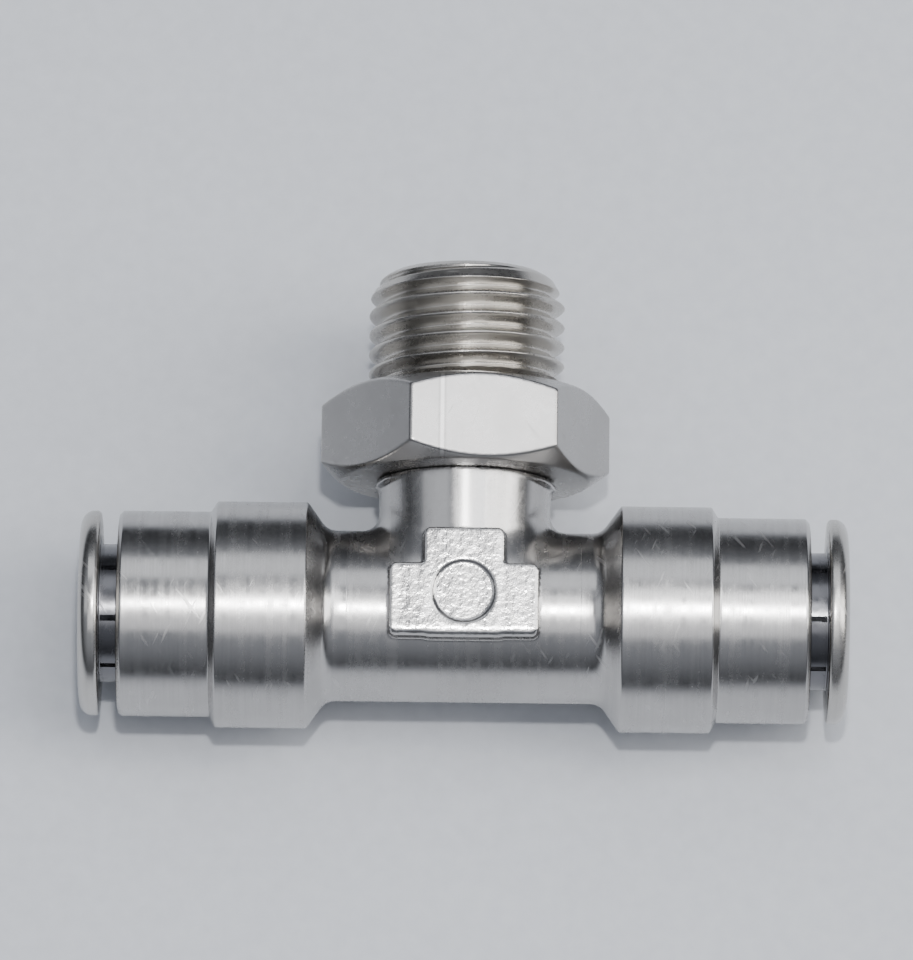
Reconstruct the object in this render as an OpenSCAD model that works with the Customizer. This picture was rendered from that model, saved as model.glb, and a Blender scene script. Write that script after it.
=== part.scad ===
// Swivelling male branch tee, push-in, for 8 mm tube and a G1/4 parallel port.
// The run lies along X with a tube port at each end. The swivelling stem points along +Y.
// The origin is the centre of the seat face, the face of the hexagon that meets the port.
// Every station below is a distance from the tee centre, where the run and branch axes cross.

/* [Run] */
// Outside diameter of the run between the two collars
run_d = 11.4; // [11.2:0.1:11.6]
// Diameter of the flow passage through the run and the branch
passage_d = 6; // [5.6:0.1:6.2]
// Distance from the tee centre to the end face of the body, each way
port_reach = 23.04; // [22.9:0.02:24]
// Distance from the tee centre to the foot of the cone that rises to the large collar
cone_foot = 9.2; // [8.6:0.1:9.4]
// Distance from the tee centre to the top of that cone
cone_top = 10.35; // [10.2:0.05:10.8]
// Diameter of the large collar
big_collar_d = 15.14; // [14.8:0.02:15.6]
// Distance from the tee centre to the outer end of the large collar
big_collar_end = 16.5; // [16.2:0.1:16.8]
// Diameter of the small collar at the mouth
small_collar_d = 13.74; // [13.5:0.02:14]
// Length of the cone between the two collars
collar_step = 0.45; // [0.35:0.05:0.8]
// Chamfer at the outer edge of the small collar
mouth_chamfer = 0.3; // [0.1:0.05:0.4]

/* [Tube port] */
// Outside diameter of the tube that plugs in
tube_d = 8; // [7.9:0.05:8.05]
// Radial play of the tube in its socket
tube_play = 0.1; // [0.05:0.01:0.12]
// Distance from the tee centre to the shoulder that stops the tube
tube_stop = 8.6; // [8.2:0.1:8.8]
// Length of the plain socket for the end of the tube
socket_len = 3.8; // [3.4:0.1:3.9]
// Width of the groove for the tube O-ring
o_ring_groove_w = 2; // [1.9:0.05:2.1]
// Diameter of the groove for the tube O-ring
o_ring_groove_d = 11.2; // [11:0.1:11.4]
// Thickness of the support ring behind the O-ring
support_t = 0.9; // [0.7:0.1:1]
// Outside diameter of the pressed-in clamp sleeve
sleeve_d = 12; // [11.9:0.05:12.1]
// Diameter of the mouth that guides the collet
sleeve_mouth_d = 9.36; // [9.34:0.01:9.38]
// Diameter of the chamber around the collet's fingers
sleeve_chamber_d = 10.9; // [10.8:0.05:11]

/* [Collet] */
// Diameter of the release flange
flange_d = 13.7; // [13.2:0.1:13.9]
// Thickness of the release flange
flange_t = 1.34; // [1.2:0.02:1.5]
// How far the collet goes in to release the tube
press_travel = 1.2; // [0.8:0.1:1.2]
// Outside diameter of the collet's slotted neck
collet_neck_d = 9.2; // [9.18:0.01:9.24]
// Diameter of the fingers' heads inside the clamp sleeve
finger_head_d = 10.5; // [10.3:0.05:10.6]
// Inside diameter across the gripping teeth
tooth_d = 7.8; // [7.76:0.02:7.9]
// Number of slots, and so of fingers
slots = 8; // [6:1:10]
// Width of each slot
slot_w = 0.4; // [0.3:0.05:0.6]
// Turn of the left collet about the run
left_turn = 14.5; // [0:0.1:45]
// Turn of the right collet about the run
right_turn = 8.5; // [0:0.1:45]

/* [Branch neck] */
// Outside diameter of the neck
neck_d = 11.5; // [11.3:0.1:11.7]
// Distance from the tee centre to the rim of the neck
neck_top = 9.1; // [9:0.05:9.12]
// Diameter of the flared lip at the rim
lip_d = 12.9; // [12:0.1:13.2]
// Diameter of the bore that the stem turns in
neck_bore_d = 9.5; // [9.46:0.01:9.54]
// Distance from the tee centre to the floor of that bore
neck_floor = 3.3; // [3.2:0.05:3.4]

/* [Forging pads] */
// Distance from the run axis to the flat face of each pad
pad_z = 6.4; // [6.3:0.05:6.8]
// Width of the lower bar of the T
pad_bar_w = 9.9; // [9:0.1:10.6]
// Lower edge of the bar, below the run axis
pad_low = 2.35; // [2:0.05:2.6]
// Upper edge of the bar, above the run axis
pad_bar_top = 2.5; // [2.3:0.05:2.9]
// Width of the upright of the T
pad_post_w = 5.3; // [4.8:0.1:5.6]
// Upper edge of the upright, above the run axis
pad_post_top = 4.9; // [4.6:0.1:5.2]
// Height of the plain round recess above the run axis
recess_y = 0.6; // [0:0.05:1]
// Diameter of the plain round recess
recess_d = 4.05; // [3.6:0.05:4.2]
// Depth of the recess
recess_t = 0.15; // [0.1:0.01:0.25]

/* [Stem] */
// Width of the hexagon across its flats
hex_af = 17; // [16.8:0.1:17.2]
// Distance from the tee centre to the lower face of the hexagon
hex_low = 9.2; // [9.18:0.02:9.3]
// Distance from the tee centre to the seat face of the hexagon
seat_y = 15.1; // [14.9:0.05:15.3]
// Diameter of the flat on each face of the hexagon, inside its chamfer
hex_face_d = 16.5; // [16.2:0.1:16.8]
// Height of the chamfer at the corners
hex_chamfer = 1.03; // [0.7:0.01:1.1]
// Turn of the hexagon about the branch axis
hex_turn = 8.1; // [0:0.1:30]
// Diameter of the shank that turns in the neck
shank_d = 9.4; // [9.38:0.01:9.42]
// Distance from the tee centre to the inner end of the shank
shank_end = 3.45; // [3.42:0.01:3.5]

/* [Male thread] */
// Major diameter of the thread
thread_d = 13.157; // [13:0.001:13.157]
// Pitch of the thread
pitch = 1.337; // [1.337:0.001:1.4]
// Length of the threaded end, from the seat face to the tip
thread_len = 8.2; // [7.2:0.05:8.6]
// Diameter of the flat face at the tip
tip_d = 10.4; // [9.6:0.1:10.8]
// Length of the undercut beside the seat face
undercut_w = 0.6; // [0.5:0.05:0.9]
// Depth of the relief in the seat face around the foot of the thread
relief_t = 0.12; // [0.08:0.01:0.2]
// Turn of the thread about the branch axis
thread_turn = 0; // [0:5:355]

/* [Hidden] */
$fn = 72;

nickel = [0.72, 0.70, 0.66];
nickel_dark = [0.60, 0.58, 0.54];
rubber_black = [0.08, 0.08, 0.08];
spring_steel = [0.55, 0.56, 0.58];

run_r = run_d / 2;
passage_r = passage_d / 2;
big_r = big_collar_d / 2;
small_r = small_collar_d / 2;
small_start = big_collar_end + collar_step;
socket_r = tube_d / 2 + tube_play;
groove_start = tube_stop + socket_len;
seat_start = groove_start + o_ring_groove_w;
groove_r = o_ring_groove_d / 2;
sleeve_r = sleeve_d / 2;
sleeve_start = seat_start + support_t + 0.02;
sleeve_end = port_reach - 0.12;
press_play = 0.01;

mouth_r = sleeve_mouth_d / 2;
chamber_r = sleeve_chamber_d / 2;
mouth_len = 1.3;
clamp_cone_len = 2.3;
cone_gap = 0.1;
// Station at which the clamp sleeve's cone has radius r.
function cone_station(r) = sleeve_end - mouth_len - clamp_cone_len * (r - mouth_r) / (chamber_r - mouth_r);

flange_in = port_reach + press_travel + 0.02;
flange_out = flange_in + flange_t;
collet_neck_r = collet_neck_d / 2;
head_r = finger_head_d / 2;
flange_r = flange_d / 2;
tooth_r = tooth_d / 2;
collet_end = sleeve_start + press_travel + 0.45;

neck_r = neck_d / 2;
neck_bore_r = neck_bore_d / 2;
shank_r = shank_d / 2;
lip_r = lip_d / 2;
stem_groove_r = 3.66;
stem_groove_low = 4.6;
stem_groove_high = 6.1;
ring_low = 7.35;
ring_high = 8.35;
ring_wire_r = 0.42;
ring_mid_r = 4.72;
ring_stem_groove_r = 4.2;
ring_body_groove_r = 5.24;

thread_r = thread_d / 2;
thread_depth = 0.640327 * pitch;
root_r = thread_r - thread_depth;
tip_r = tip_d / 2;
thread_steps = 36;
thread_base = 0.16;

// Everything is drawn about the tee centre and set down with the seat face at the origin.
module set_down() {
  translate([0, -seat_y, 0]) children();
}

// A profile of [radius, station] points, turned about the run, on the right (1) or left (-1).
module on_run(side) {
  mirror([side < 0 ? 1 : 0, 0, 0]) rotate([0, 90, 0]) children();
}

// The same about the branch.
module on_branch() {
  rotate([-90, 0, 0]) children();
}

function both_ways(p) = concat(p, [for (i = [len(p) - 1:-1:0]) [p[i][0], -p[i][1]]]);

// Quarter arc of a profile from angle a0 to a1, about [r, s], with its radii along r and s.
function arc(r, s, kr, ks, a0, a1, n) =
  [for (i = [0:n]) [r + kr * cos(a0 + (a1 - a0) * i / n), s + ks * sin(a0 + (a1 - a0) * i / n)]];

run_outside = both_ways(concat(
  [[0, port_reach]],
  [[small_r - mouth_chamfer, port_reach],
   [small_r, port_reach - mouth_chamfer],
   [small_r, small_start],
   [big_r, big_collar_end],
   [big_r, cone_top + 0.2],
   [big_r - 0.15, cone_top],
   [run_r + 0.6, cone_foot + 0.4],
   [run_r + 0.28, cone_foot + 0.12],
   [run_r + 0.1, cone_foot - 0.12],
   [run_r, cone_foot - 0.45]]));

run_bore = both_ways(
  [[0, port_reach + 1],
   [sleeve_r, port_reach + 1],
   [sleeve_r, seat_start],
   [groove_r, seat_start],
   [groove_r, groove_start],
   [socket_r, groove_start],
   [socket_r, tube_stop],
   [passage_r, tube_stop]]);

neck_outside =
  [[0, 0],
   [neck_r, 0],
   [neck_r, neck_top - 0.65],
   [lip_r, neck_top - 0.2],
   [lip_r, neck_top],
   [0, neck_top]];

neck_bore =
  [[0, 0],
   [passage_r, 0],
   [passage_r, neck_floor],
   [neck_bore_r, neck_floor],
   [neck_bore_r, ring_low],
   [ring_body_groove_r, ring_low],
   [ring_body_groove_r, ring_high],
   [neck_bore_r, ring_high],
   [neck_bore_r, neck_top - 0.25],
   [neck_bore_r + 0.25, neck_top],
   [neck_bore_r + 0.25, neck_top + 1],
   [0, neck_top + 1]];

// One bar of a pad, drafted and with rounded corners, between heights y0 and y1.
module pad_bar(w, y0, y1) {
  hull() {
    for (sx = [-1, 1], y = [y0 + 0.5, y1 - 0.5])
      translate([sx * (w / 2 - 0.5), y, 0]) {
        translate([0, 0, 3]) cylinder(r = 0.75, h = 0.1, $fn = 24);
        translate([0, 0, pad_z - 0.3]) cylinder(r = 0.55, h = 0.1, $fn = 24);
        translate([0, 0, pad_z - 0.1]) cylinder(r = 0.35, h = 0.1, $fn = 24);
      }
  }
}

module pad() {
  difference() {
    union() {
      pad_bar(pad_bar_w, -pad_low, pad_bar_top);
      pad_bar(pad_post_w, -pad_low, pad_post_top);
    }
    translate([0, recess_y, pad_z - recess_t]) cylinder(d = recess_d, h = 1);
  }
}

// Forged and turned body: run, collars, neck and the T-shaped pads front and back.
module tee_body() {
  color(nickel) set_down() difference() {
    union() {
      on_run(1) rotate_extrude() polygon(run_outside);
      on_branch() rotate_extrude() polygon(neck_outside);
      pad();
      rotate([0, 180, 0]) pad();
    }
    on_run(1) rotate_extrude() polygon(run_bore);
    on_branch() rotate_extrude() polygon(neck_bore);
  }
}

// Pressed-in sleeve: the mouth guides the collet's neck and the cone closes its fingers.
module clamp_sleeve(side) {
  color(nickel_dark) set_down() on_run(side) rotate_extrude() polygon(
    [[sleeve_r - press_play, sleeve_start],
     [sleeve_r - press_play, sleeve_end - 0.15],
     [sleeve_r - press_play - 0.15, sleeve_end],
     [mouth_r + 0.2, sleeve_end],
     [mouth_r, sleeve_end - 0.2],
     [mouth_r, sleeve_end - mouth_len],
     [chamber_r, sleeve_end - mouth_len - clamp_cone_len],
     [chamber_r, sleeve_start]]);
}

// Flat ring that backs the O-ring and stops it from leaving its groove.
module support_ring(side) {
  color(nickel_dark) set_down() on_run(side) rotate_extrude() polygon(
    [[socket_r + 0.08, seat_start + 0.01],
     [sleeve_r - press_play - 0.01, seat_start + 0.01],
     [sleeve_r - press_play - 0.01, seat_start + support_t],
     [socket_r + 0.23, seat_start + support_t],
     [socket_r + 0.08, seat_start + support_t - 0.15]]);
}

// An O-ring's section, round but flattened where it is squeezed between r0 and r1.
module squeezed_section(r0, r1, s, section_r) {
  translate([0, s]) intersection() {
    translate([(r0 + r1) / 2, 0]) circle(r = section_r);
    translate([r0, -section_r]) square([r1 - r0, 2 * section_r]);
  }
}

// O-ring that seals on the tube.
module tube_o_ring(side) {
  color(rubber_black) set_down() on_run(side) rotate_extrude()
    squeezed_section(tooth_r, groove_r - 0.01, groove_start + o_ring_groove_w / 2, o_ring_groove_w / 2 - 0.04);
}

// Slotted collet: a flange to press, a neck, and fingers with heads and teeth.
module collet(side, turn) {
  color(nickel) set_down() on_run(side) rotate([0, 0, 180]) difference() {
    rotate_extrude() polygon(concat(
      [[tooth_r, collet_end + 0.35],
       [socket_r, collet_end],
       [head_r - 0.35, collet_end],
       [head_r, collet_end + 0.35],
       [head_r, cone_station(head_r + cone_gap)],
       [collet_neck_r, cone_station(collet_neck_r + cone_gap)],
       [collet_neck_r, flange_in],
       [flange_r - 0.35, flange_in]],
      arc(flange_r - 0.3, flange_in + 0.3, 0.3, 0.3, -60, 0, 3),
      arc(flange_r - 1.0, flange_out - 0.85, 1.0, 0.85, 10, 90, 8),
      [[socket_r + 0.35, flange_out],
       [socket_r, flange_out - 0.35],
       [socket_r, collet_end + 1.0],
       [tooth_r, collet_end + 0.8],
       [socket_r, collet_end + 0.55]]));
    for (i = [0:slots - 1])
      rotate([0, 0, turn + 360 / slots * i])
        translate([0, -slot_w / 2, collet_end - 1])
          cube([head_r + 1, slot_w, flange_in - 0.1 - collet_end + 1]);
  }
}

// Spring wire ring, open at one side, that holds the stem in the neck.
module stem_retaining_ring() {
  color(spring_steel) set_down() on_branch() translate([0, 0, (ring_low + ring_high) / 2])
    rotate([0, 0, 105]) rotate_extrude(angle = 340) translate([ring_mid_r, 0]) circle(r = ring_wire_r);
}

// O-ring that seals the swivel joint.
module stem_o_ring() {
  color(rubber_black) set_down() on_branch() rotate_extrude()
    squeezed_section(stem_groove_r + 0.01, shank_r, (stem_groove_low + stem_groove_high) / 2, 0.7);
}

// Hexagon with a chamfer on both faces.
module hexagon() {
  h = seat_y - hex_low;
  corner_r = hex_af / 2 / cos(30);
  rise = corner_r - hex_face_d / 2;
  intersection() {
    rotate([0, 0, hex_turn]) cylinder(r = corner_r, h = h, $fn = 6);
    rotate_extrude() polygon(
      [[0, 0],
       [hex_face_d / 2, 0],
       [corner_r + rise, 2 * hex_chamfer],
       [corner_r + rise, h - 2 * hex_chamfer],
       [hex_face_d / 2, h],
       [0, h]]);
  }
}

// Half the width of the thread's ridge at radius r: 55 degree flanks under a narrow crest.
function half_ridge(r) = 0.1115 + (thread_r - r) * tan(27.5);

// Section of the ridge: [radius, height] about the helix.
ridge =
  [[root_r - thread_base, -half_ridge(root_r - thread_base)],
   [thread_r - 0.07, -half_ridge(thread_r - 0.07)],
   [thread_r, -0.07],
   [thread_r, 0.07],
   [thread_r - 0.07, half_ridge(thread_r - 0.07)],
   [root_r - thread_base, half_ridge(root_r - thread_base)]];

// Ridge of a right-hand thread from height z0 to z1 about Z.
module thread_ridge(z0, z1) {
  m = len(ridge);
  n = ceil((z1 - z0) / pitch * thread_steps);
  points = [for (i = [0:n], p = ridge)
    let (a = 360 * i / thread_steps) [p[0] * cos(a), p[0] * sin(a), z0 + pitch * i / thread_steps + p[1]]];
  sides = [for (i = [0:n - 1], j = [0:m - 1])
    let (a = i * m + j, b = i * m + (j + 1) % m, c = a + m, d = b + m) each [[a, b, c], [b, d, c]]];
  first = [for (j = [1:m - 2]) [0, j + 1, j]];
  last = [for (j = [1:m - 2]) [n * m, n * m + j, n * m + j + 1]];
  polyhedron(points = points, faces = concat(sides, first, last), convexity = 8);
}

// The threaded end, from the seat face up: core and ridge inside an outline with an undercut and a chamfer.
module threaded_end() {
  intersection() {
    union() {
      translate([0, 0, -0.4]) cylinder(r = root_r, h = thread_len + 0.8);
      rotate([0, 0, thread_turn]) thread_ridge(-0.6, thread_len + 0.7);
    }
    rotate_extrude() polygon(
      [[0, -0.2],
       [root_r - 0.15, -0.2],
       [root_r - 0.15, undercut_w],
       [thread_r + 0.5, undercut_w + 0.85],
       [thread_r + 0.5, thread_len - 0.35 - (thread_r - tip_r - 0.1) / tan(30)],
       [tip_r + 0.6, thread_len - 0.35],
       [tip_r, thread_len],
       [0, thread_len]]);
  }
}

// Stem: threaded end, hexagon, and the shank with its two grooves.
module swivel_stem() {
  color(nickel) set_down() on_branch() difference() {
    union() {
      rotate_extrude() polygon(
        [[0, shank_end],
         [shank_r - 0.3, shank_end],
         [shank_r, shank_end + 0.3],
         [shank_r, stem_groove_low],
         [stem_groove_r, stem_groove_low],
         [stem_groove_r, stem_groove_high],
         [shank_r, stem_groove_high],
         [shank_r, ring_low],
         [ring_stem_groove_r, ring_low],
         [ring_stem_groove_r, ring_high],
         [shank_r, ring_high],
         [shank_r, hex_low + 1],
         [0, hex_low + 1]]);
      translate([0, 0, hex_low]) hexagon();
      translate([0, 0, seat_y]) threaded_end();
    }
    translate([0, 0, seat_y]) rotate_extrude() polygon(
      [[root_r - 0.15, -relief_t],
       [thread_r + 0.05, -relief_t],
       [thread_r + 0.15, 0],
       [thread_r + 0.15, 0.2],
       [root_r - 0.15, 0.2]]);
    translate([0, 0, shank_end - 1]) cylinder(r = passage_r, h = seat_y + thread_len);
    translate([0, 0, seat_y + thread_len - 0.3]) cylinder(r1 = passage_r, r2 = passage_r + 0.6, h = 0.6);
  }
}

module left_clamp_sleeve() { clamp_sleeve(-1); }
module right_clamp_sleeve() { clamp_sleeve(1); }
module left_support_ring() { support_ring(-1); }
module right_support_ring() { support_ring(1); }
module left_tube_o_ring() { tube_o_ring(-1); }
module right_tube_o_ring() { tube_o_ring(1); }
module left_collet() { collet(-1, left_turn); }
module right_collet() { collet(1, right_turn); }

tee_body();
left_clamp_sleeve();
right_clamp_sleeve();
left_support_ring();
right_support_ring();
left_tube_o_ring();
right_tube_o_ring();
stem_retaining_ring();
swivel_stem();
stem_o_ring();
left_collet();
right_collet();
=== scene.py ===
import math

import bpy
import numpy as np
from mathutils import Matrix, Vector


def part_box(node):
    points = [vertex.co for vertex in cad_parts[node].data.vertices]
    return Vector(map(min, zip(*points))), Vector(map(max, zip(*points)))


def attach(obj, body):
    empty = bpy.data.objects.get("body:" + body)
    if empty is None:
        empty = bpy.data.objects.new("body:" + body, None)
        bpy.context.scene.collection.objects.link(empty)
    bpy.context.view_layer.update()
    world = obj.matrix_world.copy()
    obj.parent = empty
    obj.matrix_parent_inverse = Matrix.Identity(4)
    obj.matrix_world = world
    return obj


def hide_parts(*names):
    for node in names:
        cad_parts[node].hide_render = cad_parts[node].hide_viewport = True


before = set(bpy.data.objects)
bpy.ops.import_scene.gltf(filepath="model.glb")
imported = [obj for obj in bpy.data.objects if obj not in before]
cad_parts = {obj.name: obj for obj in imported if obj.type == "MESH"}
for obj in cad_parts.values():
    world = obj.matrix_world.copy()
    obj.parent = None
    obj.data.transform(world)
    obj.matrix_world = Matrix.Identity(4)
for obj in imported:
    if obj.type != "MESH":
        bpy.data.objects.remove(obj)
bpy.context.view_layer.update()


# Lengths below are millimetres about the tee centre, where the run (X) and the branch (Y) cross.
# SEAT is the height of the seat face, the frame's origin, above the tee centre.
_lo, _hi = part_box("left_collet")
SEAT = -500.0 * (_lo.y + _hi.y)
TIP = 1000.0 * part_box("swivel_stem")[1].y + SEAT
PORT = 23.04
RUN_R, PASSAGE_R, SOCKET_R = 5.7, 3.0, 4.1
BIG_R, SMALL_R = 7.564, 6.866
BIG_END, STEP = 16.5, 0.45
NECK_TOP, NECK_BORE_R, NECK_FLOOR = 9.16, 4.75, 3.3
PAD_Z, PAD_HALF, PAD_LOW, PAD_TOP = 6.4, 4.95, 2.35, 2.5
POST_HALF, POST_TOP, RECESS_Y, RECESS_R, RECESS_T = 2.65, 4.9, 0.6, 2.025, 0.15
HEX_LOW, HEX_AF, HEX_FACE_R, HEX_TURN, HEX_SLOPE = 9.2, 17.0, 8.25, 8.1, 0.658
THREAD_R, PITCH = 6.5785, 1.337
ROOT_R = THREAD_R - 0.640327 * PITCH
TIP_R = 5.2
UNDERCUT, RELIEF = 0.6, 0.12


# ------------------------------------------------------------------ mesh making

def make(name, verts, faces, body, material, nodes, sharp=32.0):
    """A mesh from millimetre points about the tee centre, riding on a CAD body in place of CAD nodes."""
    co = (np.asarray(verts, float) + [0.0, -SEAT, 0.0]) * 0.001
    faces = np.asarray(faces)
    me = bpy.data.meshes.new(name)
    a, b, c = co[faces[:, 0]], co[faces[:, 1]], co[faces[:, 2]]
    volume = np.einsum("ij,ij->i", a, np.cross(b, c)).sum()
    if faces.shape[1] == 4:
        d = co[faces[:, 3]]
        volume += np.einsum("ij,ij->i", a, np.cross(c, d)).sum()
    if volume < 0:
        faces = faces[:, ::-1]
    me.from_pydata(co.tolist(), [], faces.tolist())
    me.update()
    obj = bpy.data.objects.new(name, me)
    bpy.context.scene.collection.objects.link(obj)
    dress(obj, material, sharp)
    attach(obj, body)
    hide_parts(*nodes)
    return obj


def dress(obj, material, sharp=32.0):
    me = obj.data
    me.materials.clear()
    me.materials.append(material)
    me.polygons.foreach_set("material_index", [0] * len(me.polygons))
    me.shade_smooth()
    if sharp:
        me.set_sharp_from_angle(angle=math.radians(sharp))
    me.update()


def eased(points, radius=0.07, steps=3):
    """A closed profile with its corners eased, and support points beside them so that flats stay flat."""
    out = []
    n = len(points)
    for i in range(n):
        p, q, s = (np.array(points[j % n][:2], float) for j in (i - 1, i, i + 1))
        rad = points[i][2] if len(points[i]) > 2 else radius
        u, v = p - q, s - q
        lu, lv = np.linalg.norm(u), np.linalg.norm(v)
        if lu < 1e-9 or lv < 1e-9:
            continue
        u, v = u / lu, v / lv
        if np.dot(u, v) < -0.995 or rad <= 0:
            out.append(q)
            continue
        d = min(rad, 0.42 * lu, 0.42 * lv)
        start, end = q + u * d, q + v * d
        if lu > 4 * d + 0.1:
            out.append(start + u * 0.05)
        for k in range(steps + 1):
            t = k / steps
            out.append((1 - t) ** 2 * start + 2 * t * (1 - t) * q + t * t * end)
        if lv > 4 * d + 0.1:
            out.append(end + v * 0.05)
    return out


def divided(points, longest=0.9):
    out = []
    n = len(points)
    for i in range(n):
        p, q = points[i], points[(i + 1) % n]
        k = max(1, int(math.ceil(np.linalg.norm(q - p) / longest)))
        out += [p + (q - p) * j / k for j in range(k)]
    return out


def turned(profile, segments, axis, side=1):
    """The points and quads of a closed (radius, station) profile turned about X or Y."""
    prof = np.array(profile)
    phi = 2 * math.pi * np.arange(segments) / segments
    r, s = prof[:, 0][:, None], prof[:, 1][:, None] * np.ones(segments)[None, :]
    c, w = r * np.cos(phi), r * np.sin(phi)
    if axis == "x":
        verts = np.stack([side * s, c, w], -1)
    else:
        verts = np.stack([c, s, w], -1)
    return verts.reshape(-1, 3), wrap(len(profile), segments)


def wrap(rows, columns):
    """Quads of a grid that closes both ways."""
    i, j = np.meshgrid(np.arange(rows), np.arange(columns), indexing="ij")
    i2, j2 = (i + 1) % rows, (j + 1) % columns
    return np.stack([i * columns + j, i2 * columns + j, i2 * columns + j2, i * columns + j2], -1).reshape(-1, 4)


def smin(a, b, k):
    h = np.clip(0.5 + 0.5 * (b - a) / k, 0, 1)
    return b + (a - b) * h - k * h * (1 - h)


def smax(a, b, k):
    return -smin(-a, -b, k)


def skin(distance, low, high, step):
    """Mesh of the surface where distance(x, y, z) is 0, as quads, with its points moved onto the surface."""
    low = np.array(low, float)
    counts = np.ceil((np.array(high) - low) / step).astype(int) + 1
    axes = [low[a] + step * np.arange(counts[a]) for a in range(3)]
    f = np.empty(counts, np.float32)
    Y, Z = np.meshgrid(axes[1], axes[2], indexing="ij")
    chunk = 12
    for i in range(0, counts[0], chunk):
        X = axes[0][i:i + chunk][:, None, None]
        f[i:i + chunk] = distance(X + 0 * Y[None], Y[None] + 0 * X, Z[None] + 0 * X)
    inside = f < 0
    total = np.zeros(counts - 1, np.int8)
    for a in (0, 1):
        for b in (0, 1):
            for c in (0, 1):
                total += inside[a:counts[0] - 1 + a, b:counts[1] - 1 + b, c:counts[2] - 1 + c]
    active = (total > 0) & (total < 8)
    cells = np.argwhere(active)
    index = np.full(active.shape, -1, np.int64)
    index[active] = np.arange(len(cells))
    acc, cnt = np.zeros((len(cells), 3)), np.zeros(len(cells))
    for a in range(3):
        others = [b for b in range(3) if b != a]
        for o1 in (0, 1):
            for o2 in (0, 1):
                i0 = cells.copy()
                i0[:, others[0]] += o1
                i0[:, others[1]] += o2
                i1 = i0.copy()
                i1[:, a] += 1
                f0, f1 = f[tuple(i0.T)].astype(float), f[tuple(i1.T)].astype(float)
                cross = (f0 < 0) != (f1 < 0)
                t = np.where(cross, f0 / np.where(f0 == f1, 1, f0 - f1), 0)
                p = i0.astype(float)
                p[:, a] += t
                acc += p * cross[:, None]
                cnt += cross
    verts = low + step * acc / cnt[:, None]
    quads = []
    for a in range(3):
        b, c = (a + 1) % 3, (a + 2) % 3
        first = [slice(None)] * 3
        second = [slice(None)] * 3
        first[a], second[a] = slice(0, -1), slice(1, None)
        s0, s1 = inside[tuple(first)], inside[tuple(second)]
        at = np.argwhere(s0 != s1)
        at = at[(at[:, b] > 0) & (at[:, c] > 0) & (at[:, b] < counts[b] - 1) & (at[:, c] < counts[c] - 1)]
        ring = []
        for ob, oc in ((-1, -1), (0, -1), (0, 0), (-1, 0)):
            cell = at.copy()
            cell[:, b] += ob
            cell[:, c] += oc
            ring.append(index[tuple(cell.T)])
        q = np.stack(ring, -1)
        flip = ~s0[tuple(at.T)]
        q[flip] = q[flip][:, ::-1]
        quads.append(q)
    quads = np.concatenate(quads)
    e = 0.01
    for _ in range(5):
        x, y, z = verts.T
        d = distance(x, y, z)
        g = np.stack([distance(x + e, y, z) - distance(x - e, y, z),
                      distance(x, y + e, z) - distance(x, y - e, z),
                      distance(x, y, z + e) - distance(x, y, z - e)], -1) / (2 * e)
        move = -d[:, None] * g / np.maximum((g * g).sum(1), 0.25)[:, None]
        size = np.linalg.norm(move, axis=1)
        move *= np.minimum(1, 0.5 * step / np.maximum(size, 1e-9))[:, None]
        verts = verts + move
    return verts, quads


# ------------------------------------------------------------------ shapes

def wobble(x, y, z, k, seed):
    """Smooth repeatable unevenness, about -1 to 1."""
    a = np.sin(k * (1.0 * x + 0.4 * y) + seed) * np.sin(k * (0.9 * y - 0.5 * z) + 1.7 * seed)
    b = np.sin(k * 2.1 * (0.7 * x - 0.8 * z) + 2.3 * seed) * np.sin(k * 1.9 * (0.6 * z + 0.9 * y) + 0.6 * seed)
    return 0.6 * a + 0.4 * b


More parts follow.
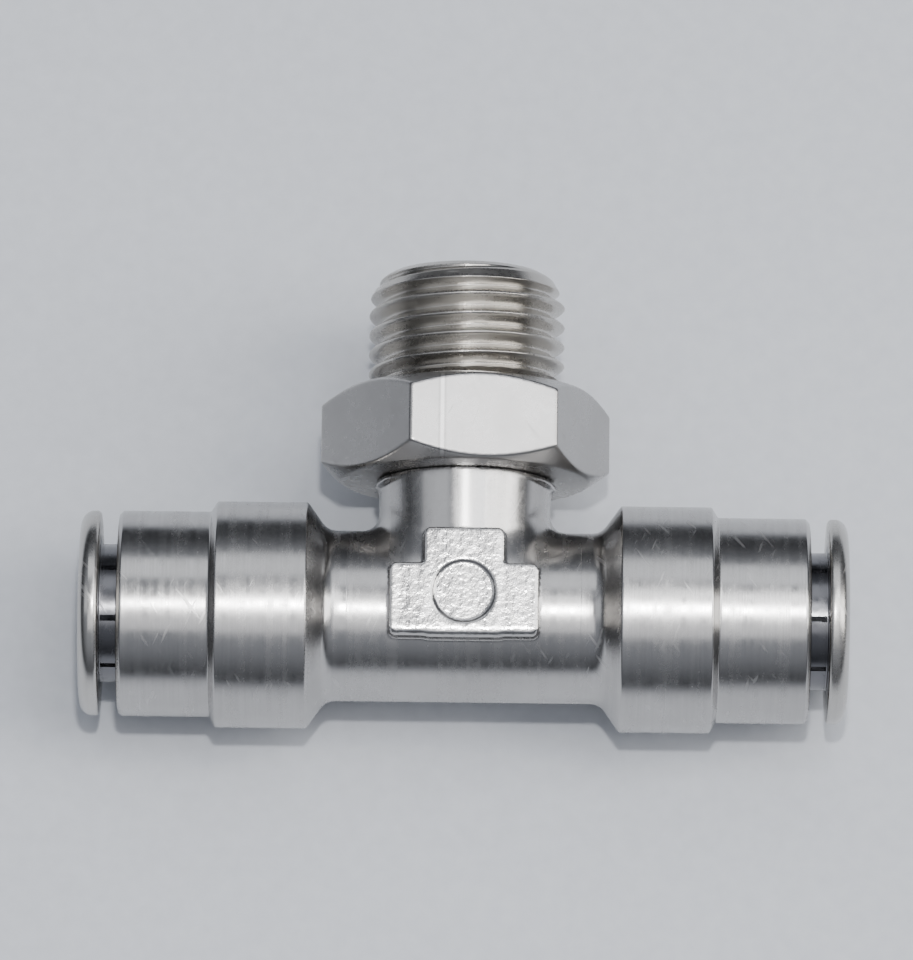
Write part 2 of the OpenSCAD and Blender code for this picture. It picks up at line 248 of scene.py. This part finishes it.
def forged_centre(x, y, z):
    az = np.abs(z)
    rx = np.sqrt(y * y + z * z)
    ry = np.sqrt(x * x + z * z)
    run = rx - RUN_R
    neck = np.maximum(ry - (5.62 + 0.049 * (y - 6.33)), -y)
    # the rim is rolled out a little at the two sides
    at_side = np.clip((np.abs(x) - 3.0) / 2.4, 0, 1)
    uneven = 0.07 * at_side * wobble(x, 0 * y, z, 1.3, 1.0) + 0.05 * at_side
    lip = np.sqrt((ry - 5.7 - uneven) ** 2 + (y - (NECK_TOP - 0.3)) ** 2) - 0.24 * at_side + 0.3 * (1 - at_side)
    neck = smin(neck, lip, 0.3)
    body = smin(run, neck, 1.5)
    # the pads
    cy = 0.5 * (PAD_TOP - PAD_LOW)
    hy = 0.5 * (PAD_TOP + PAD_LOW)
    rad = 0.45

    def plate(hx, c, h):
        dx, dy = np.abs(x) - (hx - rad), np.abs(y - c) - (h - rad)
        return np.sqrt(np.maximum(dx, 0) ** 2 + np.maximum(dy, 0) ** 2) + np.minimum(np.maximum(dx, dy), 0) - rad

    bar = plate(PAD_HALF, cy, hy)
    post = plate(POST_HALF, 0.5 * (POST_TOP - PAD_LOW), 0.5 * (POST_TOP + PAD_LOW))
    outline = smin(bar, post, 0.3) + 0.05 * (az - PAD_Z)
    # the face falls away along its lower edge
    fall = np.clip((-y - (PAD_LOW - 0.62)) / 0.6, 0, 1.2)
    top = az - PAD_Z + 0.02 * wobble(x, y, z, 0.9, 3.0) ** 2 + 0.1 * fall * fall
    low = np.clip((-y - (PAD_LOW - 0.55)) / 0.25, 0, 1)
    bevel = (outline + top + 0.22) / 1.414 - 0.4 * (1 - low)
    pad = smax(smax(outline, top, 0.15), bevel, 0.08)
    recess = smax(np.sqrt(x * x + (y - RECESS_Y) ** 2) - RECESS_R, PAD_Z - RECESS_T - az, 0.1)
    body = smin(body, pad, 0.1)
    body = smax(body, -recess, 0.2)
    # thin line where the forging dies met
    body = body - 0.06 * np.exp(-((z + 0.05 * wobble(x, y, 0 * z, 0.8, 4.0)) / 0.16) ** 2)
    body = np.maximum(body, np.abs(x) - 9.2)
    body = smax(body, y - NECK_TOP, 0.1)
    # bores
    bore = np.minimum(rx - PASSAGE_R, np.maximum(rx - SOCKET_R - 0.05, 8.6 - np.abs(x)))
    bore = np.minimum(bore, np.maximum(ry - PASSAGE_R, -y))
    bore = np.minimum(bore, np.maximum(ry - NECK_BORE_R, NECK_FLOOR - y))
    bore = np.minimum(bore, np.maximum(ry - 5.24, np.abs(y - 7.85) - 0.5))
    bore = np.minimum(bore, np.maximum(ry - NECK_BORE_R - (y - (NECK_TOP - 0.25)), NECK_TOP - 0.25 - y))
    return np.maximum(body, -bore)


HEX_NORMALS = [(math.cos(math.radians(30 + 60 * k + HEX_TURN)), -math.sin(math.radians(30 + 60 * k + HEX_TURN)))
               for k in range(3)]


def hexagon(x, y, z):
    ry = np.sqrt(x * x + z * z)
    flats = None
    for nx, nz in HEX_NORMALS:
        d = np.abs(x * nx + z * nz) - HEX_AF / 2
        flats = d if flats is None else smax(flats, d, 0.14)
    k = math.sqrt(1 + HEX_SLOPE ** 2)
    upper = ((ry - HEX_FACE_R) * HEX_SLOPE - (SEAT - y)) / k
    lower = ((ry - HEX_FACE_R) * HEX_SLOPE - (y - HEX_LOW)) / k
    body = smax(smax(flats, upper, 0.12), lower, 0.12)
    body = smax(body, np.maximum(y - SEAT, HEX_LOW - y), 0.08)
    relief = np.maximum(ry - (THREAD_R + 0.1), SEAT - RELIEF - y)
    return np.maximum(np.maximum(body, -relief), PASSAGE_R - ry)


def thread():
    """Rows of radius over angle: up the outside, over the tip and back down the bore."""
    segments = 300
    phi = 2 * math.pi * np.arange(segments) / segments
    length = TIP - SEAT
    s = np.arange(-RELIEF, length + 1e-6, 0.03)
    s[-1] = length
    S, PHI = np.meshgrid(s, phi, indexing="ij")
    crest = -0.6 - PITCH * PHI / (2 * math.pi)
    d = np.abs((S - crest + PITCH / 2) % PITCH - PITCH / 2)
    mid = 0.5 * (THREAD_R + ROOT_R)
    flank = mid + (PITCH / 4 - d) / math.tan(math.radians(27.5))
    r = smin(flank, THREAD_R + 0.02, 0.32)
    r = smax(r, ROOT_R, 0.28)
    run_in = ROOT_R - 0.15 + np.maximum(0, S - UNDERCUT) * 1.5 / 0.85
    r = np.minimum(smin(r, run_in, 0.1), THREAD_R)
    steep = TIP_R + (length - S) * 0.6 / 0.35
    slow = TIP_R + 0.6 + (length - 0.35 - S) / 1.732
    r = smin(r, smin(steep, slow, 0.15), 0.07)
    nick = 0.02 * wobble(6 * np.cos(PHI), S, 6 * np.sin(PHI), 3.1, 5.0)
    r = r + np.minimum(nick, 0) * (r > mid)
    rows = [(r[i], np.full(segments, s[i])) for i in range(len(s))]
    edge = r[-1]
    flat = np.full(segments, length)
    bore_top = PASSAGE_R + 0.6
    for t in (0.08, 0.5, 0.92):
        rows.append((edge + (bore_top - edge) * t, flat))
    for radius, station in ((bore_top, length - 0.02), (PASSAGE_R + 0.3, length - 0.3), (PASSAGE_R + 0.03, length - 0.57),
                            (PASSAGE_R, length - 0.65), (PASSAGE_R, length - 3), (PASSAGE_R, length - 6),
                            (PASSAGE_R, -RELIEF)):
        rows.append((np.full(segments, radius), np.full(segments, station)))
    R = np.array([row[0] for row in rows])
    T = np.array([row[1] for row in rows]) + SEAT
    verts = np.stack([R * np.cos(phi), T, R * np.sin(phi)], -1).reshape(-1, 3)
    return verts, wrap(len(rows), segments)


def barrel(side):
    """Turned end of the body, from the foot of the cone to the mouth, with its bores."""
    small_start = BIG_END + STEP
    profile = [
        (SOCKET_R, 7.7, 0), (RUN_R - 0.05, 7.7, 0), (RUN_R + 0.005, 7.76, 0.03), (RUN_R + 0.012, 9.12, 0.7),
        (BIG_R - 0.1, 10.39, 0.06), (BIG_R, 10.5, 0.06),
        (BIG_R, BIG_END, 0.08), (SMALL_R + 0.02, small_start - 0.02, 0.1), (SMALL_R, small_start + 0.1, 0.05),
        (SMALL_R, PORT - 0.28, 0.06), (SMALL_R - 0.28, PORT, 0.06),
        (6.12, PORT, 0.03), (6.0, PORT - 0.12, 0.03), (6.0, 14.4, 0), (5.6, 14.4, 0), (5.6, 12.4, 0), (SOCKET_R, 12.4, 0)]
    return turned(divided(eased(profile)), 192, "x", side)


def collet_profile():
    sleeve_end, mouth_r, chamber_r = PORT - 0.12, 4.68, 5.45
    flange_in = PORT + 1.22
    flange_out = flange_in + 1.34
    end = 15.32 + 1.2 + 0.45
    tooth, neck, head, flange = 3.9, 4.6, 5.25, 6.85

    def station(r):
        return sleeve_end - 1.3 - 2.3 * (r - mouth_r) / (chamber_r - mouth_r)

    def arc(r, s, kr, ks, a0, a1, n):
        return [(r + kr * math.cos(math.radians(a0 + (a1 - a0) * i / n)),
                 s + ks * math.sin(math.radians(a0 + (a1 - a0) * i / n)), 0) for i in range(n + 1)]

    return ([(tooth, end + 0.35, 0), (SOCKET_R, end, 0), (head - 0.35, end, 0), (head, end + 0.35, 0),
             (head, station(head + 0.1), 0), (neck, station(neck + 0.1), 0), (neck, flange_in, 0.08), (flange - 0.42, flange_in, 0.05)]
            + arc(flange - 0.3, flange_in + 0.3, 0.3, 0.3, -70, 0, 6)
            + arc(flange - 1.0, flange_out - 0.85, 1.0, 0.85, 8, 90, 16)
            + [(SOCKET_R + 0.36, flange_out, 0.1), (SOCKET_R, flange_out - 0.36, 0.1),
               (SOCKET_R, end + 1.0, 0), (tooth, end + 0.8, 0), (SOCKET_R, end + 0.55, 0)]), end, flange_in


def collet(side, turn):
    profile, end, flange_in = collet_profile()
    verts, quads = turned(divided(eased(profile), 1.2), 160, "x", side)
    cutter_v, cutter_f = [], []
    for i in range(8):
        a = math.radians(180 - turn - 45 * i)
        out, across = np.array([0, math.sin(a), math.cos(a)]), np.array([0, math.cos(a), -math.sin(a)])
        base = len(cutter_v)
        for s in (end - 1, flange_in - 0.1):
            for w in (-0.2, 0.2):
                for r in (1.0, 6.2):
                    cutter_v.append(np.array([side * s, 0, 0]) + out * r + across * w)
        for f in ((0, 1, 3, 2), (4, 6, 7, 5), (0, 4, 5, 1), (2, 3, 7, 6), (0, 2, 6, 4), (1, 5, 7, 3)):
            cutter_f.append([base + k for k in f])
    return verts, quads, np.array(cutter_v), cutter_f


def cut(obj, cutter_v, cutter_f):
    """Takes closed cutter solids out of obj."""
    co = (cutter_v + [0.0, -SEAT, 0.0]) * 0.001
    me = bpy.data.meshes.new("cutter")
    me.from_pydata(co.tolist(), [], cutter_f)
    me.update()
    tool = bpy.data.objects.new("cutter", me)
    bpy.context.scene.collection.objects.link(tool)
    bm_fix(me)
    mod = obj.modifiers.new("slots", "BOOLEAN")
    mod.operation = "DIFFERENCE"
    mod.solver = "EXACT"
    mod.object = tool
    bpy.context.view_layer.update()
    result = bpy.data.meshes.new_from_object(obj.evaluated_get(bpy.context.evaluated_depsgraph_get()))
    obj.modifiers.clear()
    old = obj.data
    obj.data = result
    result.name = obj.name
    bpy.data.meshes.remove(old)
    bpy.data.objects.remove(tool)
    bpy.data.meshes.remove(me)


def bm_fix(me):
    import bmesh
    bm = bmesh.new()
    bm.from_mesh(me)
    bmesh.ops.recalc_face_normals(bm, faces=bm.faces)
    bm.to_mesh(me)
    bm.free()


# ------------------------------------------------------------------ materials

class Nodes:
    """A short way to write a node tree."""

    def __init__(self, name):
        self.mat = bpy.data.materials.new(name)
        self.mat.use_nodes = True
        self.tree = self.mat.node_tree
        self.shader = self.tree.nodes["Principled BSDF"]
        self.coords = self.add("ShaderNodeTexCoord").outputs["Object"]

    def add(self, kind, **props):
        node = self.tree.nodes.new(kind)
        for key, value in props.items():
            setattr(node, key, value)
        return node

    def link(self, a, b):
        self.tree.links.new(a, b)

    def mapped(self, scale, turn=(0, 0, 0), shift=(0, 0, 0)):
        m = self.add("ShaderNodeMapping")
        m.inputs["Scale"].default_value = scale
        m.inputs["Rotation"].default_value = turn
        m.inputs["Location"].default_value = shift
        self.link(self.coords, m.inputs["Vector"])
        return m.outputs["Vector"]

    def streaks(self, size, turn):
        """Object coordinates turned about Z, then divided by size."""
        m = self.add("ShaderNodeMapping", vector_type="TEXTURE")
        m.inputs["Scale"].default_value = size
        m.inputs["Rotation"].default_value = (0, 0, turn)
        self.link(self.coords, m.inputs["Vector"])
        return m.outputs["Vector"]

    def noise(self, vector, scale=1.0, detail=2.0, rough=0.5, distortion=0.0):
        n = self.add("ShaderNodeTexNoise")
        n.inputs["Scale"].default_value = scale
        n.inputs["Detail"].default_value = detail
        n.inputs["Roughness"].default_value = rough
        n.inputs["Distortion"].default_value = distortion
        self.link(vector, n.inputs["Vector"])
        return n.outputs["Fac"]

    def span(self, value, a, b, c, d):
        m = self.add("ShaderNodeMapRange")
        for key, v in (("From Min", a), ("From Max", b), ("To Min", c), ("To Max", d)):
            m.inputs[key].default_value = v
        self.link(value, m.inputs["Value"])
        return m.outputs["Result"]

    def math(self, op, a, b=None):
        m = self.add("ShaderNodeMath", operation=op)
        for k, v in enumerate((a, b)):
            if v is None:
                continue
            if isinstance(v, (int, float)):
                m.inputs[k].default_value = v
            else:
                self.link(v, m.inputs[k])
        return m.outputs[0]

    def mix(self, factor, a, b):
        m = self.add("ShaderNodeMix", data_type="RGBA")
        if isinstance(factor, (int, float)):
            m.inputs[0].default_value = factor
        else:
            self.link(factor, m.inputs[0])
        for k, v in ((6, a), (7, b)):
            if isinstance(v, tuple):
                m.inputs[k].default_value = (*v, 1)
            else:
                self.link(v, m.inputs[k])
        return m.outputs[2]

    def bump(self, height, strength, distance, normal=None):
        b = self.add("ShaderNodeBump")
        b.inputs["Strength"].default_value = strength
        b.inputs["Distance"].default_value = distance
        self.link(height, b.inputs["Height"])
        if normal is not None:
            self.link(normal, b.inputs["Normal"])
        return b.outputs["Normal"]


def nickel(name, base, shade, rough, axis, lines=0.3, grain=0.2, scratches=0.3, spread=0.06, pad=False, mark=False,
           painted_gap_shade=False):
    """Nickel plate on turned or forged brass. axis is the axis that turning lines run around, or None."""
    n = Nodes(name)
    s = n.shader
    s.inputs["Metallic"].default_value = 1.0
    broad = n.noise(n.mapped((160, 160, 160)), detail=3.0, rough=0.6)
    fine = n.noise(n.mapped((2600, 2600, 2600)), detail=3.0, rough=0.65)
    across = {"x": (7000, 130, 130), "y": (130, 7000, 130), None: (900, 900, 900)}[axis]
    wide = {"x": (1500, 60, 60), "y": (60, 1500, 60), None: (400, 400, 400)}[axis]
    line = n.noise(n.mapped(across), detail=4.0, rough=0.6)
    band = n.noise(n.mapped(wide, shift=(3.1, 1.7, 2.3)), detail=2.0)
    # scratches from handling: thin streaks in two directions, in patches
    patch = n.span(n.noise(n.mapped((240, 240, 240), shift=(5, 2, 8)), detail=1.0), 0.45, 0.65, 0.0, 1.0)
    s1 = n.noise(n.streaks((1 / 3600, 1 / 420, 1 / 700), math.radians(38)), detail=0.0)
    s2 = n.noise(n.streaks((1 / 4200, 1 / 520, 1 / 800), math.radians(-24)), detail=0.0)
    scratch = n.math("MULTIPLY", n.span(n.math("MAXIMUM", s1, s2), 0.725, 0.79, 0.0, 1.0), patch)
    rough_out = n.math("ADD", n.span(band, 0.3, 0.7, rough - spread, rough + spread),
                       n.span(fine, 0.3, 0.7, -0.03, 0.03))
    rough_out = n.math("ADD", rough_out, n.math("MULTIPLY", scratch, 0.14))
    color = n.mix(n.span(broad, 0.35, 0.7, 0.0, 1.0), base, shade)
    color = n.mix(n.math("MULTIPLY", n.span(line, 0.35, 0.65, 0.0, 1.0), 0.35 * min(1.0, 2 * lines)), color,
                  tuple(0.82 * c for c in shade))
    color = n.mix(n.math("MULTIPLY", scratch, scratches), color, tuple(min(1.0, 1.3 * c) for c in base))
    height = n.math("ADD", n.math("MULTIPLY", line, lines), n.math("MULTIPLY", fine, grain))
    height = n.math("ADD", height, n.math("MULTIPLY", scratch, 0.4 * scratches))
    if pad:
        xyz = n.add("ShaderNodeSeparateXYZ")
        n.link(n.coords, xyz.inputs[0])
        face = n.span(n.math("ABSOLUTE", xyz.outputs["Z"]), 0.00585, 0.0062, 0.0, 1.0)
        sand = n.noise(n.mapped((2300, 2300, 2300), shift=(1, 9, 4)), detail=2.0, rough=0.6)
        height = n.math("ADD", height, n.math("MULTIPLY", n.math("MULTIPLY", sand, face), 4.2))
        # painted highlight: pale specks where the sand noise is high stand in for glints on the pad face; the sand bump
        # above is real grain
        painted_glint = n.math("MULTIPLY", n.span(sand, 0.62, 0.72, 0.0, 1.0), face)
        rough_out = n.math("ADD", rough_out, n.math("MULTIPLY", face, -0.04))
        color = n.mix(n.math("MULTIPLY", face, 0.7), color, tuple(min(1.0, 1.0 * c) for c in base))
        color = n.mix(n.math("MULTIPLY", painted_glint, 0.35), color, (0.9, 0.9, 0.9))
    if painted_gap_shade:
        # painted shade: the collet's neck and sleeve, inside about 5 mm radius, are coloured near-black, darker than
        # the flange, for the shade in the narrow gap between the flange and the body
        xyz = n.add("ShaderNodeSeparateXYZ")
        n.link(n.coords, xyz.inputs[0])
        up = n.math("ADD", xyz.outputs["Y"], SEAT * 0.001)
        r2 = n.math("ADD", n.math("MULTIPLY", up, up), n.math("MULTIPLY", xyz.outputs["Z"], xyz.outputs["Z"]))
        low = n.span(n.math("SQRT", r2), 0.0049, 0.0053, 1.0, 0.0)
        color = n.mix(low, color, (0.17, 0.17, 0.18))
    if mark:
        # a faint drawn line across one flat of the hexagon
        xyz = n.add("ShaderNodeSeparateXYZ")
        n.link(n.coords, xyz.inputs[0])
        off = n.math("ABSOLUTE", n.math("ADD", xyz.outputs["X"], 0.00157))
        seam = n.math("MULTIPLY", n.span(off, 0.00009, 0.00017, 1.0, 0.0), n.span(xyz.outputs["Z"], 0.0082, 0.0085, 0.0, 1.0))
        color = n.mix(seam, color, tuple(min(1.0, 1.35 * c) for c in base))
        edge = n.math("MULTIPLY", n.span(off, 0.0002, 0.00032, 1.0, 0.0), n.span(xyz.outputs["Z"], 0.0082, 0.0085, 0.0, 1.0))
        edge = n.math("MULTIPLY", edge, n.math("SUBTRACT", 1.0, seam))
        color = n.mix(n.math("MULTIPLY", edge, 0.6), color, tuple(0.7 * c for c in shade))
    n.link(color, s.inputs["Base Color"])
    n.link(rough_out, s.inputs["Roughness"])
    n.link(n.bump(height, 0.35, 0.00002), s.inputs["Normal"])
    return n.mat


def rubber():
    n = Nodes("nbr_rubber_look")
    s = n.shader
    grain = n.noise(n.mapped((1800, 1800, 1800)), detail=4.0)
    n.link(n.mix(n.span(grain, 0.3, 0.7, 0.0, 1.0), (0.012, 0.012, 0.013), (0.03, 0.03, 0.031)), s.inputs["Base Color"])
    n.link(n.span(grain, 0.3, 0.7, 0.5, 0.68), s.inputs["Roughness"])
    n.link(n.bump(grain, 0.3, 0.00002), s.inputs["Normal"])
    return n.mat


def floor_with_painted_falloff():
    n = Nodes("floor_with_painted_falloff")
    s = n.shader
    s.inputs["Roughness"].default_value = 0.75
    s.inputs["Specular IOR Level"].default_value = 0.2
    grain = n.noise(n.mapped((900, 900, 900)), detail=3.0)
    painted_pool_colour = n.mix(n.span(grain, 0.3, 0.7, 0.0, 1.0), (0.60, 0.62, 0.66), (0.64, 0.66, 0.70))
    # painted light falloff: the floor's colour goes from pale around the object to dark grey beyond about 0.16 m, for a
    # pool of light that fades, which also darkens what the metal reflects
    length = n.add("ShaderNodeVectorMath", operation="LENGTH")
    n.link(n.coords, length.inputs[0])
    n.link(n.mix(n.span(length.outputs["Value"], 0.055, 0.16, 0.0, 1.0), painted_pool_colour, (0.20, 0.21, 0.23)), s.inputs["Base Color"])
    return n.mat


body_turned = nickel("body_turned", (0.51, 0.50, 0.49), (0.45, 0.44, 0.43), 0.23, "x", lines=0.42, grain=0.10, scratches=0.35)
body_forged = nickel("body_forged", (0.51, 0.50, 0.49), (0.45, 0.44, 0.43), 0.25, "x", lines=0.12, grain=0.22, scratches=0.35, pad=True)
stem_hex = nickel("stem_hex_look", (0.44, 0.43, 0.42), (0.415, 0.405, 0.395), 0.29, None, lines=0.05, grain=0.14, scratches=0.12, spread=0.03, mark=True)
stem_thread = nickel("stem_thread_look", (0.56, 0.54, 0.505), (0.47, 0.45, 0.42), 0.27, "y", lines=0.2, grain=0.08, scratches=0.0)
stem_shank = nickel("stem_shank_look", (0.66, 0.64, 0.60), (0.58, 0.56, 0.52), 0.28, "y", lines=0.4, grain=0.1, scratches=0.1)
# the collet's neck and sleeve carry painted shade
collet_look = nickel("collet_look", (0.56, 0.545, 0.52), (0.49, 0.475, 0.45), 0.24, "x", lines=0.35, grain=0.12, scratches=0.3, painted_gap_shade=True)
inner_look = nickel("inner_look", (0.62, 0.60, 0.56), (0.52, 0.50, 0.47), 0.34, "x", lines=0.5, grain=0.15, scratches=0.1)
wire_look = nickel("wire_look", (0.50, 0.50, 0.51), (0.40, 0.40, 0.41), 0.35, None, lines=0.2, grain=0.3, scratches=0.1)
rubber_look = rubber()

# ------------------------------------------------------------------ pieces

verts, quads = skin(forged_centre, (-9.45, -6.75, -6.75), (9.45, 9.4, 6.75), 0.11)
make("body_centre", verts, quads, "fitting_body", body_forged, ["tee_body"], sharp=50)
for side, word in ((-1, "left"), (1, "right")):
    verts, quads = barrel(side)
    make(f"body_{word}_barrel", verts, quads, "fitting_body", body_turned, ["tee_body"])

verts, quads = skin(hexagon, (-10.2, HEX_LOW - 0.3, -10.2), (10.2, SEAT + 0.3, 10.2), 0.11)
make("stem_hexagon", verts, quads, "stem", stem_hex, ["swivel_stem"], sharp=50)
verts, quads = thread()
make("stem_thread", verts, quads, "stem", stem_thread, ["swivel_stem"], sharp=60)
shank = [(PASSAGE_R, 3.45, 0), (4.4, 3.45, 0.03), (4.7, 3.75, 0.05), (4.7, 4.6, 0.05), (3.66, 4.6, 0.05), (3.66, 6.1, 0.05),
         (4.7, 6.1, 0.05), (4.7, 7.35, 0.05), (4.2, 7.35, 0.05), (4.2, 8.35, 0.05), (4.7, 8.35, 0.05), (4.7, HEX_LOW, 0),
         (PASSAGE_R, HEX_LOW, 0)]
verts, quads = turned(divided(eased(shank)), 128, "y")
make("stem_shank", verts, quads, "stem", stem_shank, ["swivel_stem"])

for side, word, turn in ((-1, "left", 14.5), (1, "right", 8.5)):
    verts, quads, cv, cf = collet(side, turn)
    piece = make(f"{word}_collet_piece", verts, quads, f"{word}_release", collet_look, [f"{word}_collet"])
    cut(piece, cv, cf)
    dress(piece, collet_look)

for node, look in (("left_clamp_sleeve", inner_look), ("right_clamp_sleeve", inner_look),
                   ("left_support_ring", inner_look), ("right_support_ring", inner_look),
                   ("left_tube_o_ring", rubber_look), ("right_tube_o_ring", rubber_look),
                   ("stem_o_ring", rubber_look), ("stem_retaining_ring", wire_look)):
    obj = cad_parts[node]
    if not obj.data.materials:
        obj.data.materials.append(look)
    for i in range(len(obj.data.materials)):
        obj.data.materials[i] = look

# ------------------------------------------------------------------ floor, camera and light

def spot(x, y, z):
    """A point of the frame, in metres, from millimetres about the tee centre."""
    return Vector((x, y - SEAT, z)) * 0.001


TILT = math.radians(8.1)
floor_mesh = bpy.data.meshes.new("floor")
size = 900.0
rows = []
for sx, sy in ((-1, -1), (1, -1), (1, 1), (-1, 1)):
    yy = sy * size * math.cos(TILT)
    rows.append(spot(sx * size, yy, -7.62 / math.cos(TILT) - math.tan(TILT) * yy))
floor_mesh.from_pydata([tuple(v) for v in rows], [], [(0, 1, 2, 3)])
floor = bpy.data.objects.new("floor", floor_mesh)
bpy.context.scene.collection.objects.link(floor)
floor.data.materials.append(floor_with_painted_falloff())

ALPHA, ROLL, DIST, SCALE = math.radians(11.5), math.radians(0.71), 600.0, 14.95
back = Vector((0, -math.sin(ALPHA), math.cos(ALPHA)))
up0 = Vector((0, math.cos(ALPHA), math.sin(ALPHA)))
right0 = Vector((1, 0, 0))
right = right0 * math.cos(ROLL) + up0 * math.sin(ROLL)
up = up0 * math.cos(ROLL) - right0 * math.sin(ROLL)
centre = right * (-(463.5 - 456.5) / SCALE) + up * ((617.5 - 480.0) / SCALE)
eye = centre + back * DIST
cam_data = bpy.data.cameras.new("camera")
cam_data.sensor_width = 36.0
cam_data.lens = SCALE * DIST * 36.0 / 960.0
cam_data.clip_start = 0.01
cam_data.clip_end = 20.0
cam = bpy.data.objects.new("camera", cam_data)
place = Matrix((right, up, back)).transposed().to_4x4()
place.translation = spot(*eye)
cam.matrix_world = place
bpy.context.scene.collection.objects.link(cam)
bpy.context.scene.camera = cam


def area(name, at, aim, width, height, watts, color=(1, 1, 1)):
    data = bpy.data.lights.new(name, "AREA")
    data.shape = "RECTANGLE"
    data.size, data.size_y = width, height
    data.energy = watts
    data.color = color
    light = bpy.data.objects.new(name, data)
    at, aim = spot(*at), spot(*aim)
    light.matrix_world = (aim - at).to_track_quat("-Z", "Y").to_matrix().to_4x4()
    light.matrix_world.translation = at
    bpy.context.scene.collection.objects.link(light)
    return light


area("light_top", (5, 8, 560), (0, 5, 0), 0.022, 0.022, 1.35)
area("light_overhead", (170, 140, 600), (0, 5, 0), 0.29, 0.23, 1.0, (0.97, 0.98, 1.0))
area("light_right", (460, 30, 370), (0, 5, 0), 0.26, 0.5, 2.3, (1.0, 0.99, 0.97))
area("light_back", (0, 400, 440), (0, 5, 0), 0.5, 0.26, 0.45, (0.93, 0.96, 1.0))
area("light_front", (0, -180, 570), (0, 0, 0), 0.4, 0.24, 0.3, (0.98, 0.98, 1.0))
area("light_left", (-380, 50, 450), (0, 5, 0), 0.26, 0.4, 0.2, (0.93, 0.96, 1.0))
world = bpy.data.worlds.new("studio")
world.use_nodes = True
tree = world.node_tree
coord = tree.nodes.new("ShaderNodeTexCoord")
split = tree.nodes.new("ShaderNodeSeparateXYZ")
ramp = tree.nodes.new("ShaderNodeMapRange")
ramp.interpolation_type = "SMOOTHSTEP"
for key, value in (("From Min", 0.05), ("From Max", 0.85), ("To Min", 0.07), ("To Max", 0.42)):
    ramp.inputs[key].default_value = value
tree.links.new(coord.outputs["Generated"], split.inputs[0])
tree.links.new(split.outputs["Z"], ramp.inputs["Value"])
tree.links.new(ramp.outputs["Result"], tree.nodes["Background"].inputs["Strength"])
tree.nodes["Background"].inputs["Color"].default_value = (0.84, 0.89, 1.0, 1)
bpy.context.scene.world = world
